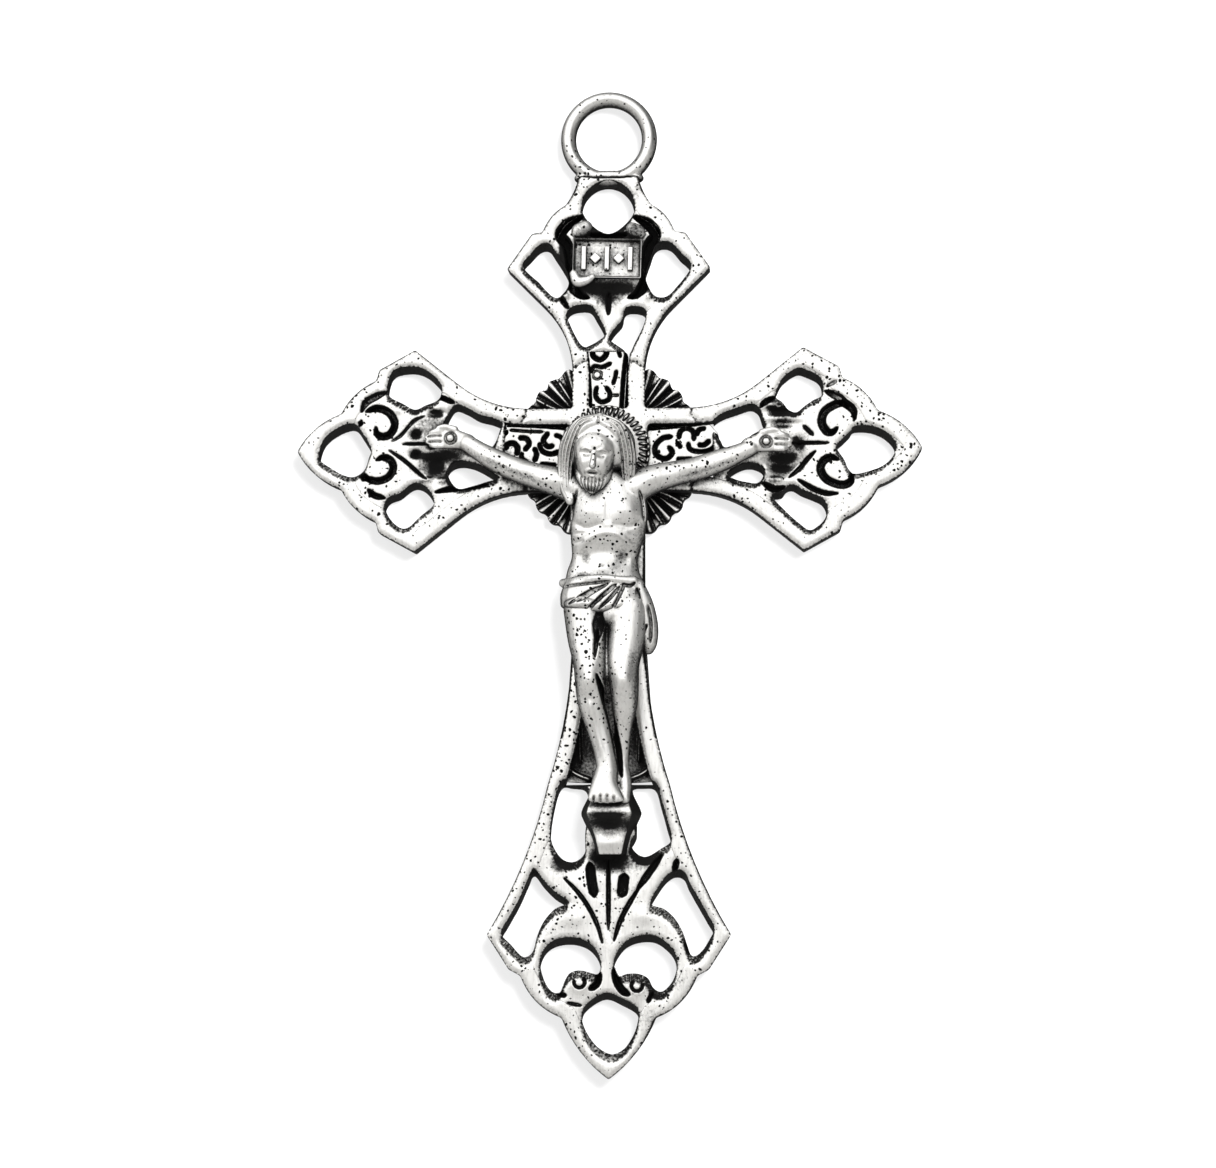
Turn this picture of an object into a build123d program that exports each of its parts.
from build123d import *
import os

# A small openwork crucifix that hangs from a ring, cast in white metal and assembled from separate castings.
# Millimetres. +Z is up and the front faces -Y. The origin is the centre of the ring's hole.
# Sketches are drawn as seen from the front, about the crossing of the two beams. An arm's own profile runs
# outwards along its local X, and is turned into its place.

os.makedirs("parts", exist_ok=True)

# Driving dimensions
crossing_drop = 14.42  # ring centre down to the crossing
side_reach = 14.24  # crossing to the point of a side arm
foot_reach = 28.39  # crossing to the bottom point
neck_reach = 12.64  # crossing to the flat that the ring stands on
side_root = 1.92  # half the height of the side beam at the crossing
shaft_root = 1.64  # half the width of the upright at the crossing
plate = 1.2  # thickness of the pierced border
rail = 0.75  # width of the border's rails
ring_radius = 2.21
ring_hole_radius = 1.5

# Levels, measured forwards from the middle of the plate's thickness
back_level = -plate / 2
front_level = plate / 2
filigree_level = 0.5  # front of the leaf work
field_level = 0.1  # sunken grounds between the rails
relief_level = 0.42  # top of the raised scrolls
ray_level = -0.15  # front of the ray plate, which is let into the border from behind

# Pins and rivets
nail_radius = 0.13
nail_head_radius = 0.27
nail_head = 0.3  # height of a nail's head
rivet_radius = 0.3
running_gap = 0.01  # room round a pin in its hole

front = Plane(origin=(0, 0, -crossing_drop), x_dir=(1, 0, 0), z_dir=(0, -1, 0))
RIGHT, TOP, LEFT, FOOT = 0, 90, 180, -90  # the turn that takes an arm's profile to its place
finished = []


def keep(label, shape):
    """Names a finished piece and notes it for export."""
    shape.label = label
    finished.append(shape)


def spot(across, up, ahead):
    """The point so far across and up from the crossing, and so far ahead of the middle of the plate."""
    return Vector(across, -ahead, up - crossing_drop)


# ---------------------------------------------------------------- profiles
def mirrored_face(half_outline):
    """A face from a half outline that runs from X = 0 to the arm's axis."""
    with BuildSketch() as face:
        with BuildLine() as edge:
            half_outline()
            root = (edge.line @ 0).Y
            mirror(edge.line, about=Plane.XZ)
            Line((0, root), (0, -root))
        make_face()
    return face.sketch


def rounded_polygon(points, rounding):
    """A closed shape with rounded corners."""
    with BuildSketch() as shape:
        with BuildLine():
            Polyline(*points, close=True)
        make_face()
        fillet(shape.vertices(), rounding)
    return shape.sketch


def both_sides(shape):
    """A shape and its twin across the arm's axis."""
    return [shape, mirror(shape, about=Plane.XZ)]


def turned(shape, turn):
    """An arm's profile, turned about the crossing."""
    with BuildSketch() as placed:
        add(shape, rotation=turn)
    return placed.sketch


def side_half():
    """Half outline of a side arm: root, flare, shoulder, lobe and pointed end."""
    root = Line((0, side_root), (3.65, side_root))
    flare = TangentArc(root @ 1, (6.85, 3.05), tangent=(1, 0))
    shoulder = Polyline(flare @ 1, (8.85, 4.65), (10.5, 3.74), (10.63, 3.24))
    lobe = ThreePointArc(shoulder @ 1, (11.62, 2.6), (12.23, 1.73))
    ThreePointArc(lobe @ 1, (13.42, 1.05), (side_reach, 0))


def foot_half():
    """Half outline of the lower arm: straight shaft, slow flare, shoulder, lobe and point."""
    root = Line((0, shaft_root), (8.2, shaft_root))
    flare = TangentArc(root @ 1, (15.2, 2.75), tangent=(1, 0))
    sweep = ThreePointArc(flare @ 1, (18.8, 3.9), (21.95, 5.5))
    shoulder = Polyline(sweep @ 1, (23.5, 4.5), (23.78, 3.97))
    lobe = ThreePointArc(shoulder @ 1, (24.8, 3.38), (25.65, 2.12))
    ThreePointArc(lobe @ 1, (27.15, 1.28), (foot_reach, 0))


def head_half():
    """Half outline of the upper arm: root, flare, shoulder, lobe, and the collar under the ring."""
    root = Line((0, shaft_root), (3.5, shaft_root))
    flare = TangentArc(root @ 1, (6.6, 2.92), tangent=(1, 0))
    shoulder = Polyline(flare @ 1, (8.35, 4.66), (9.98, 3.52), (10.06, 3.02))
    lobe = ThreePointArc(shoulder @ 1, (10.8, 2.6), (11.3, 1.95))
    collar = ThreePointArc(lobe @ 1, (11.95, 1.58), (neck_reach, 1.36))
    Line(collar @ 1, (neck_reach, 0))


with BuildSketch() as outline:
    for half_outline, turn in ((side_half, RIGHT), (side_half, LEFT), (head_half, TOP), (foot_half, FOOT)):
        add(mirrored_face(half_outline), rotation=turn)

collar_drop = 1.54  # neck flat down to the middle of the small round opening
collar_radius = 1.18

with BuildSketch() as window:
    offset(outline.sketch, amount=-rail)
    with Locations((0, neck_reach - collar_drop)):
        Circle(collar_radius)

with BuildSketch() as crossing_block:
    Rectangle(2 * shaft_root + 0.3, 2 * side_root)


def insert_face(boundary, holes, turn):
    """What fills the window inside an arm's boundary, less the arm's piercings. All are drawn along local X."""
    with BuildSketch() as face:
        add(turned(boundary, turn))
        add(window.sketch, mode=Mode.INTERSECT)
        for hole in holes:
            add(turned(hole, turn), mode=Mode.SUBTRACT)
    return face.sketch


def slab(profile, back, ahead):
    """A flat slab of that profile between two levels."""
    with BuildPart() as solid:
        with BuildSketch(front.offset(back)):
            add(profile)
        extrude(amount=ahead - back)
    return solid.part


def crescent(centre, radius, width, start, sweep):
    """A curved slot, the shape of a scroll's groove or of its raised line."""
    with BuildSketch() as slot:
        with BuildLine(mode=Mode.PRIVATE) as curve:
            CenterArc(centre, radius, start, sweep)
        SlotArc(curve.line.edges()[0], height=width)
    return slot.sketch


def pin(place, radius, back, ahead):
    """A round pin between two levels."""
    with BuildPart() as solid:
        with BuildSketch(front.offset(back)):
            with Locations(place):
                Circle(radius)
        extrude(amount=ahead - back)
    return solid.part


def pin_hole(place, radius):
    """What a drill takes out for a pin, front to back."""
    return pin(place, radius + running_gap, -6, 6)


# ---------------------------------------------------------------- places of the pins
nail_places = {"left": (-7.15, 0.5), "right": (7.17, 0.25)}
corpus_rivet_place = (0, -1.2)
title_rivet_place = (0, 8.6)
rest_rivet_place = (0, -16.9)
corpus_rivet_end = 1.3
title_rivet_end = 0.9
rest_rivet_end = 1.2

# ---------------------------------------------------------------- ray plate
ray_radius = 4.22
ray_count = 32
ray_scallop = 0.42
ray_axis = Axis(spot(0, 0, 0), (0, -1, 0))

with BuildSketch() as ray_outline:
    Circle(ray_radius - 0.12)
    with PolarLocations(ray_radius - ray_scallop, ray_count, start_angle=180 / ray_count):
        Circle(ray_scallop)

with BuildPart() as ray_groove:
    with BuildSketch(Plane(origin=spot(2.2, 0, ray_level), x_dir=(0, 1, 0), z_dir=(1, 0, 0))):
        Polygon((0.24, 0), (-0.1, -0.22), (-0.1, 0.22), align=None)
    extrude(amount=2.4)

with BuildPart() as sun_rays:
    add(slab(ray_outline.sketch, back_level, ray_level))
    for number in range(ray_count):
        add(ray_groove.part.rotate(ray_axis, number * 360 / ray_count), mode=Mode.SUBTRACT)
    add(pin_hole(corpus_rivet_place, rivet_radius), mode=Mode.SUBTRACT)
keep("sun_rays", sun_rays.part)

ray_recess = slab(ray_outline.sketch, back_level, ray_level)

# ---------------------------------------------------------------- border
with BuildPart() as cross_border:
    add(slab(outline.sketch - window.sketch + crossing_block.sketch, back_level, front_level))
    add(ray_recess, mode=Mode.SUBTRACT)
    add(pin_hole(corpus_rivet_place, rivet_radius), mode=Mode.SUBTRACT)
keep("cross_border", cross_border.part)

# ---------------------------------------------------------------- ring
with BuildPart() as hanging_ring:
    with BuildSketch(Plane.XZ.offset(back_level)):
        Circle(ring_radius)
        with Locations((0, neck_reach - crossing_drop - ring_radius)):
            Rectangle(4 * ring_radius, 2 * ring_radius, mode=Mode.SUBTRACT)
    extrude(amount=plate)
    fillet(edges().filter_by(GeomType.CIRCLE), 0.3)
    with Locations(Location((0, 0, 0), (90, 0, 0))):
        Cylinder(ring_hole_radius, 2 * plate, mode=Mode.SUBTRACT)
keep("hanging_ring", hanging_ring.part)

# ---------------------------------------------------------------- side leaf work
side_panel_end = 5.0
stem_half = 0.25
side_boundary = rounded_polygon(
    [(side_panel_end, -6), (side_panel_end, 6), (side_reach, 6), (side_reach, -6)], 0.1
)
side_tip_hole = [(10.65, 0), (11.5, 1.25), (12.5, 1.7), (13.9, 0), (12.5, -1.7), (11.5, -1.25)]
side_corner_hole = [(7.4, 2.5), (8.55, 1.85), (9.75, 2.4), (9.98, 3.3), (8.9, 4.5)]
side_inner_hole = [(4.2, stem_half), (6.45, stem_half), (6.7, 0.95), (7.4, 1.25), (6.95, 2.6), (4.2, 2.0)]
side_holes = [rounded_polygon(side_tip_hole, 0.25)]
side_holes += both_sides(rounded_polygon(side_corner_hole, 0.25))
side_holes += both_sides(rounded_polygon(side_inner_hole, 0.15))
side_grooves = both_sides(crescent((10.3, 1.2), 0.5, 0.2, 120, -230))
side_grooves += [rounded_polygon([(6.6, 0), (7.5, 0.9), (8.3, 0.75), (8.9, 0), (8.3, -0.75), (7.5, -0.9)], 0.2)]

for name, turn in (("left", LEFT), ("right", RIGHT)):
    with BuildPart() as side_filigree:
        add(slab(insert_face(side_boundary, side_holes, turn), back_level, filigree_level))
        for groove in side_grooves:
            add(slab(turned(groove, turn), field_level, filigree_level), mode=Mode.SUBTRACT)
        add(pin_hole(nail_places[name], nail_radius), mode=Mode.SUBTRACT)
    keep(f"filigree_{name}", side_filigree.part)

# ---------------------------------------------------------------- upper leaf work
head_panel_end = 5.0
head_top = 10.9
head_boundary = rounded_polygon([(head_panel_end, -6), (head_panel_end, 6), (head_top, 6), (head_top, -6)], 0.02)
head_corner_hole = [(8.4, 4.2), (9.45, 2.95), (9.2, 2.3), (8.1, 1.78), (7.0, 2.15), (6.9, 3.1)]
head_inner_hole = [(4.3, 0.12), (5.5, 0.12), (6.35, 0.7), (6.5, 1.3), (6.1, 2.2), (4.3, 1.6)]
head_leaf = [(5.3, 0), (6.2, 0.5), (7.0, 0.75), (7.6, 0.45), (7.6, -0.45), (7.0, -0.75), (6.2, -0.5)]

with BuildSketch() as collar_hole:
    with Locations((neck_reach - collar_drop, 0)):
        Circle(collar_radius)
    Polygon((11.25, 1.15), (9.95, 0), (11.25, -1.15), align=None)

with BuildSketch() as head_lobe:
    with Locations((10.05, 1.28)):
        Circle(0.45)

head_holes = [collar_hole.sketch]
head_holes += both_sides(rounded_polygon(head_corner_hole, 0.2))
head_holes += both_sides(rounded_polygon(head_inner_hole, 0.1))
head_reliefs = both_sides(head_lobe.sketch) + [rounded_polygon(head_leaf, 0.05)]

with BuildPart() as head_filigree:
    add(slab(insert_face(head_boundary, head_holes, TOP), back_level, field_level))
    for relief in head_reliefs:
        add(slab(insert_face(relief, head_holes, TOP), field_level, filigree_level))
    add(pin_hole(title_rivet_place, rivet_radius), mode=Mode.SUBTRACT)
keep("filigree_top", head_filigree.part)

# ---------------------------------------------------------------- lower leaf work
foot_panel_end = 15.15
foot_boundary = rounded_polygon([(foot_panel_end, -7), (foot_panel_end, 7), (foot_reach, 7), (foot_reach, -7)], 0.1)
foot_tip_hole = [(24.5, 0), (25.15, 1.15), (26.2, 1.7), (28.0, 0), (26.2, -1.7), (25.15, -1.15)]
foot_shaft_hole = [(14.9, 1.0), (14.9, 3.3), (17.5, 3.5), (18.15, 2.35), (18.5, 1.6), (17.9, 1.0)]
foot_corner_hole = [(18.9, 3.3), (20.55, 2.3), (21.6, 3.1), (22.75, 3.45), (23.2, 4.4), (21.9, 5.4)]
foot_hollow = [(18.9, 0.35), (19.4, 0.8), (20.9, 0.55), (20.4, 0.25)]

with BuildSketch() as round_hole:
    with Locations((23.15, 1.74)):
        Circle(1.33)
    with Locations((24.15, 1.22)):
        Circle(0.62, mode=Mode.SUBTRACT)

foot_holes = [rounded_polygon(foot_tip_hole, 0.2)]
foot_holes += both_sides(rounded_polygon(foot_shaft_hole, 0.25))
foot_holes += both_sides(rounded_polygon(foot_corner_hole, 0.25))
foot_holes += both_sides(round_hole.sketch)
foot_grooves = both_sides(crescent((24.15, 1.22), 0.3, 0.12, 0, 250))
foot_grooves += both_sides(rounded_polygon(foot_hollow, 0.1))

with BuildPart() as foot_filigree:
    add(slab(insert_face(foot_boundary, foot_holes, FOOT), back_level, filigree_level))
    for groove in foot_grooves:
        add(slab(turned(groove, FOOT), field_level, filigree_level), mode=Mode.SUBTRACT)
    add(pin_hole(rest_rivet_place, rivet_radius), mode=Mode.SUBTRACT)
keep("filigree_foot", foot_filigree.part)

# ---------------------------------------------------------------- scroll panels in the beams
side_field = [(1.7, -3), (1.7, 3), (4.2, 3), (4.4, 1.1), (side_panel_end, stem_half)]
side_field += [(side_panel_end, -stem_half), (4.4, -1.1), (4.2, -3)]
head_field = [(1.8, -3), (1.8, 3), (4.2, 3), (4.4, 0.95), (head_panel_end, 0.12)]
head_field += [(head_panel_end, -0.12), (4.4, -0.95), (4.2, -3)]
shin_field = [(1.7, -3), (1.7, 3), (foot_panel_end, 3), (foot_panel_end, -3)]

side_scrolls = [
    crescent((2.45, 0.42), 0.3, 0.15, 40, 250),
    crescent((3.2, 0.42), 0.3, 0.15, 140, -250),
    crescent((3.85, 0.0), 0.34, 0.15, 60, 240),
    crescent((2.45, -0.5), 0.28, 0.15, -40, -250),
    crescent((3.2, -0.5), 0.3, 0.15, -140, 250),
]
head_scrolls = [
    crescent((4.1, 0.2), 0.3, 0.15, 120, 250),
    crescent((3.4, 0.28), 0.24, 0.15, 20, 260),
    crescent((2.55, 0.05), 0.32, 0.15, 100, 270),
    crescent((3.3, -0.42), 0.26, 0.13, -150, 160),
]
shin_leaves = both_sides(crescent((13.5, 0.95), 0.42, 0.15, 20, 140))
shin_leaves += both_sides(crescent((14.2, 0.95), 0.3, 0.13, 20, 140))


def scroll_panel(field, scrolls, turn):
    """A sunken ground in a beam, with raised scrolls."""
    ground = insert_face(rounded_polygon(field, 0.03), [turned(crossing_block.sketch, -turn)], turn)
    with BuildPart() as panel:
        add(slab(ground, back_level, field_level))
        for scroll in scrolls:
            add(slab(turned(scroll, turn), field_level, relief_level))
        add(ray_recess, mode=Mode.SUBTRACT)
    return panel.part


keep("scroll_panel_left", scroll_panel(side_field, side_scrolls, LEFT))
keep("scroll_panel_right", scroll_panel(side_field, side_scrolls, RIGHT))
keep("scroll_panel_top", scroll_panel(head_field, head_scrolls, TOP))
keep("shin_panel", scroll_panel(shin_field, shin_leaves, FOOT))

# ---------------------------------------------------------------- halo
halo_centre = (-0.15, 0.0)
halo_radius = 1.85
halo_bead = 0.17
halo_notches = 48
halo_axis = Axis(spot(*halo_centre, 0), (0, -1, 0))
halo_start = spot(halo_centre[0] + halo_radius, halo_centre[1], front_level)

with BuildPart() as halo_groove:
    with BuildSketch(Plane(origin=halo_start, x_dir=(1, 0, 0), z_dir=(0, 0, 1))):
        Circle(halo_bead + running_gap)
    revolve(axis=halo_axis)

with BuildPart() as halo_notch:
    with Locations(Location(halo_start + Vector(0, -halo_bead - 0.02, 0), (0, 90, 0))):
        Cylinder(0.05, 1.0)

with BuildPart() as halo:
    with BuildSketch(Plane(origin=halo_start, x_dir=(1, 0, 0), z_dir=(0, 0, 1))):
        Circle(halo_bead)
        with Locations((0, halo_bead)):
            Rectangle(4 * halo_bead, 2 * halo_bead, mode=Mode.SUBTRACT)
    revolve(axis=halo_axis)
    for number in range(halo_notches):
        add(halo_notch.part.rotate(halo_axis, number * 360 / halo_notches), mode=Mode.SUBTRACT)
keep("halo", halo.part)

# ---------------------------------------------------------------- title board
title_width = 3.25
title_height = 1.85
title_back = filigree_level
title_front = 1.35
title_depth = 0.22  # how far the panel inside its frame is sunk
title_plane = front.offset(title_front)

with BuildPart() as title_board:
    with BuildSketch(front.offset(field_level)):
        with Locations((0, 8.65)):
            RectangleRounded(title_width - 0.7, title_height - 0.6, 0.15)
    extrude(amount=title_back - field_level)
    with BuildSketch(front.offset(title_back)):
        with Locations((0, 8.65)):
            RectangleRounded(title_width, title_height, 0.18)
        with Locations((-1.2, 7.65)):
            Ellipse(0.4, 0.26)
    extrude(amount=title_front - title_back)
    with BuildSketch(title_plane):
        with Locations((0.05, 8.65)):
            RectangleRounded(title_width - 0.55, title_height - 0.5, 0.1)
        with Locations((-0.95, 8.65), (0.05, 8.65), (1.05, 8.65)):
            RectangleRounded(0.18, 0.9, 0.06, mode=Mode.SUBTRACT)
        with Locations((-0.45, 8.65), (0.55, 8.65)):
            RegularPolygon(0.26, 4, mode=Mode.SUBTRACT)
    extrude(amount=-title_depth, mode=Mode.SUBTRACT)
    add(pin(title_rivet_place, rivet_radius + running_gap, 0, title_rivet_end), mode=Mode.SUBTRACT)
keep("title_board", title_board.part)

# ---------------------------------------------------------------- foot rest
rest_stations = [(-15.1, 0.95, 0.45), (-16.35, 1.38, 2.05), (-16.6, 1.4, 1.95), (-17.5, 0.85, 1.2), (-18.3, 0.56, 0.7)]

with BuildPart() as foot_rest:
    for up, half_width, depth in rest_stations:
        with BuildSketch(Plane.XY.offset(up - crossing_drop)):
            with Locations((0, -filigree_level - depth / 2)):
                Rectangle(2 * half_width, depth)
    loft(ruled=True)
    add(pin(rest_rivet_place, rivet_radius + running_gap, 0, rest_rivet_end), mode=Mode.SUBTRACT)
keep("foot_rest", foot_rest.part)

# ---------------------------------------------------------------- corpus
# Joints of the limbs: across, up, ahead, radius.
left_arm = [(-0.7, -2.1, 1.35, 0.7), (-1.7, -1.85, 1.4, 0.7), (-2.9, -1.5, 1.3, 0.64), (-4.29, -1.05, 1.15, 0.52)]
left_arm += [(-5.3, -0.5, 1.05, 0.46), (-6.15, 0.02, 0.95, 0.33), (-6.6, 0.28, 0.88, 0.25)]
right_arm = [(0.7, -2.0, 1.35, 0.7), (1.75, -1.75, 1.4, 0.7), (2.9, -1.45, 1.3, 0.64), (4.15, -1.14, 1.15, 0.52)]
right_arm += [(5.3, -0.7, 1.05, 0.46), (6.2, -0.23, 0.95, 0.33), (6.7, 0.03, 0.88, 0.25)]
# A hand: the outline of its palm, then the fingertips and the thumb's tip.
left_palm = [(-6.2, -0.3), (-6.0, 0.3), (-6.6, 0.78), (-7.35, 0.95), (-7.65, 0.6), (-7.55, 0.2), (-7.0, -0.02)]
right_palm = [(6.3, -0.5), (6.1, 0.1), (6.7, 0.55), (7.4, 0.74), (7.75, 0.4), (7.65, 0.0), (7.1, -0.25)]
palm_level = 1.08
left_fingers = [(-8.0, 0.95, 0.75), (-8.2, 0.72, 0.75), (-8.15, 0.48, 0.75), (-7.95, 0.26, 0.75), (-7.25, 0.98, 0.95)]
right_fingers = [(8.15, 0.8, 0.75), (8.4, 0.58, 0.75), (8.35, 0.35, 0.75), (8.1, 0.12, 0.75), (7.4, 0.78, 0.95)]
finger_radius = 0.11
left_leg = [(-0.95, -6.9, 1.5, 0.85), (-0.95, -8.0, 1.6, 0.98), (-0.75, -10.7, 2.3, 0.66), (-0.4, -12.5, 2.0, 0.6)]
left_leg += [(-0.05, -14.6, 1.75, 0.4), (-0.1, -15.4, 2.1, 0.45), (-0.1, -16.1, 2.25, 0.35)]
right_leg = [(0.95, -6.9, 1.5, 0.85), (0.95, -8.0, 1.6, 0.98), (0.8, -10.6, 2.2, 0.66), (0.78, -12.4, 1.8, 0.58)]
right_leg += [(0.5, -14.6, 1.45, 0.38), (0.6, -15.4, 1.65, 0.42), (0.62, -16.1, 1.8, 0.33)]
left_lock = [(-1.2, 0.3, 1.6, 0.75), (-1.4, -0.6, 1.75, 0.62), (-1.35, -1.6, 2.0, 0.45), (-1.15, -2.5, 2.2, 0.2)]
right_lock = [(0.5, 0.3, 1.6, 0.75), (0.85, -0.6, 1.75, 0.6), (0.95, -1.3, 1.95, 0.42), (0.85, -1.9, 2.1, 0.2)]
drape = [(1.55, -6.4, 1.4, 0.5), (1.75, -7.8, 1.3, 0.48), (1.75, -8.8, 1.2, 0.42), (1.6, -9.2, 1.1, 0.25)]
# Level bands of the trunk: across, up, ahead, half width, half depth.
trunk = [
    (0.0, -1.5, 1.3, 1.0, 0.7),
    (0.02, -2.2, 1.45, 1.75, 0.95),
    (0.05, -3.2, 1.5, 1.75, 1.05),
    (-0.05, -4.4, 1.4, 1.6, 0.95),
    (-0.2, -5.5, 1.3, 1.5, 0.85),
    (-0.05, -6.6, 1.4, 1.85, 1.0),
    (0.0, -7.9, 1.45, 1.95, 1.05),
]
loin_wrap = [(-0.1, -5.9, 1.35, 1.75, 0.98), (-0.05, -6.8, 1.5, 2.02, 1.15), (-0.1, -8.2, 1.6, 2.0, 1.2)]
hem = [(0.95, -6.3), (0.35, -8.3), (-0.5, -8.1), (-2.5, -7.6), (-2.5, -9), (3, -9), (3, -6.3)]
folds = [
    [(0.9, -6.4, 2.3, 0.2), (-0.2, -7.2, 2.6, 0.16), (-1.3, -7.8, 2.3, 0.12)],
    [(0.95, -6.5, 2.3, 0.2), (0.1, -7.5, 2.7, 0.16), (-0.5, -8.05, 2.6, 0.12)],
    [(1.0, -6.5, 2.3, 0.2), (0.55, -7.4, 2.65, 0.17), (0.15, -8.1, 2.55, 0.12)],
]


with BuildSketch() as behind_sketch:
    Rectangle(40, 60)
behind = behind_sketch.sketch  # as wide as the whole cross, to trim the figure's back flat


def limb(joints):
    """A smooth skin over round bands, each set square to the run of joints."""
    centres = [spot(*joint[:3]) for joint in joints]
    with BuildPart() as solid:
        for number, joint in enumerate(joints):
            along = centres[min(number + 1, len(joints) - 1)] - centres[max(number - 1, 0)]
            with BuildSketch(Plane(origin=centres[number], x_dir=(0, -1, 0), z_dir=along)):
                Circle(joint[3])
        loft()
    return solid.part


def bands(stations):
    """A smooth skin over level oval bands."""
    with BuildPart() as solid:
        for across, up, ahead, half_width, half_depth in stations:
            with BuildSketch(Plane(origin=spot(across, up, ahead), z_dir=(0, 0, 1))):
                Ellipse(half_width, half_depth)
        loft()
    return solid.part


def oval(place, across, up, ahead):
    """An ovoid about a point, by its three half sizes."""
    with BuildPart() as solid:
        Sphere(1)
        scale(by=(across, ahead, up))
    return solid.part.moved(Location(spot(*place)))


def arm(joints, palm, fingers, nail_place):
    """An arm with its open hand, flat at the back and pierced for the nail."""
    with BuildPart() as solid:
        add(limb(joints))
        for across, up, ahead in fingers:
            knuckle = ((across + 2 * nail_place[0]) / 3, (up + nail_place[1]) / 2, 0.85)
            add(limb([(*knuckle, finger_radius), (across, up, ahead, finger_radius * 0.7)]))
        add(slab(behind, -6, front_level), mode=Mode.SUBTRACT)
        add(slab(rounded_polygon(palm, 0.12), front_level, palm_level))
        add(pin_hole(nail_place, nail_radius), mode=Mode.SUBTRACT)
    return solid.part


with BuildPart() as corpus:
    add(bands(trunk))
    add(limb(left_leg))
    add(limb(right_leg))
    add(bands(loin_wrap) - slab(rounded_polygon(hem, 0.05), 0, 6))
    for joints in (drape, *folds):
        add(limb(joints))
    add(oval((-0.4, 0.05, 1.7), 1.6, 1.45, 1.1))
    add(oval((-0.3, -0.35, 2.25), 0.95, 1.3, 1.1))
    add(oval((-0.3, -1.35, 2.35), 0.6, 0.6, 0.75))
    add(limb(left_lock))
    add(limb(right_lock))
    add(slab(behind, -6, front_level), mode=Mode.SUBTRACT)
    add(foot_rest.part, mode=Mode.SUBTRACT)
    add(arm(left_arm, left_palm, left_fingers, nail_places["left"]))
    add(arm(right_arm, right_palm, right_fingers, nail_places["right"]))
    add(halo_groove.part, mode=Mode.SUBTRACT)
    add(pin(corpus_rivet_place, rivet_radius + running_gap, 0, corpus_rivet_end), mode=Mode.SUBTRACT)
keep("corpus", corpus.part)

# ---------------------------------------------------------------- nails and rivets
for name, place in nail_places.items():
    with BuildPart() as nail:
        add(pin(place, nail_radius, back_level, palm_level))
        add(pin(place, nail_head_radius, palm_level, palm_level + nail_head))
        fillet(edges().group_by(Axis.Y)[0], 0.08)
    keep(f"hand_nail_{name}", nail.part)

for name, place, end in (
    ("corpus", corpus_rivet_place, corpus_rivet_end),
    ("title", title_rivet_place, title_rivet_end),
    ("rest", rest_rivet_place, rest_rivet_end),
):
    keep(f"{name}_rivet", pin(place, rivet_radius, back_level, end - running_gap))

for shape in finished:
    export_step(shape, f"parts/{shape.label}.step")
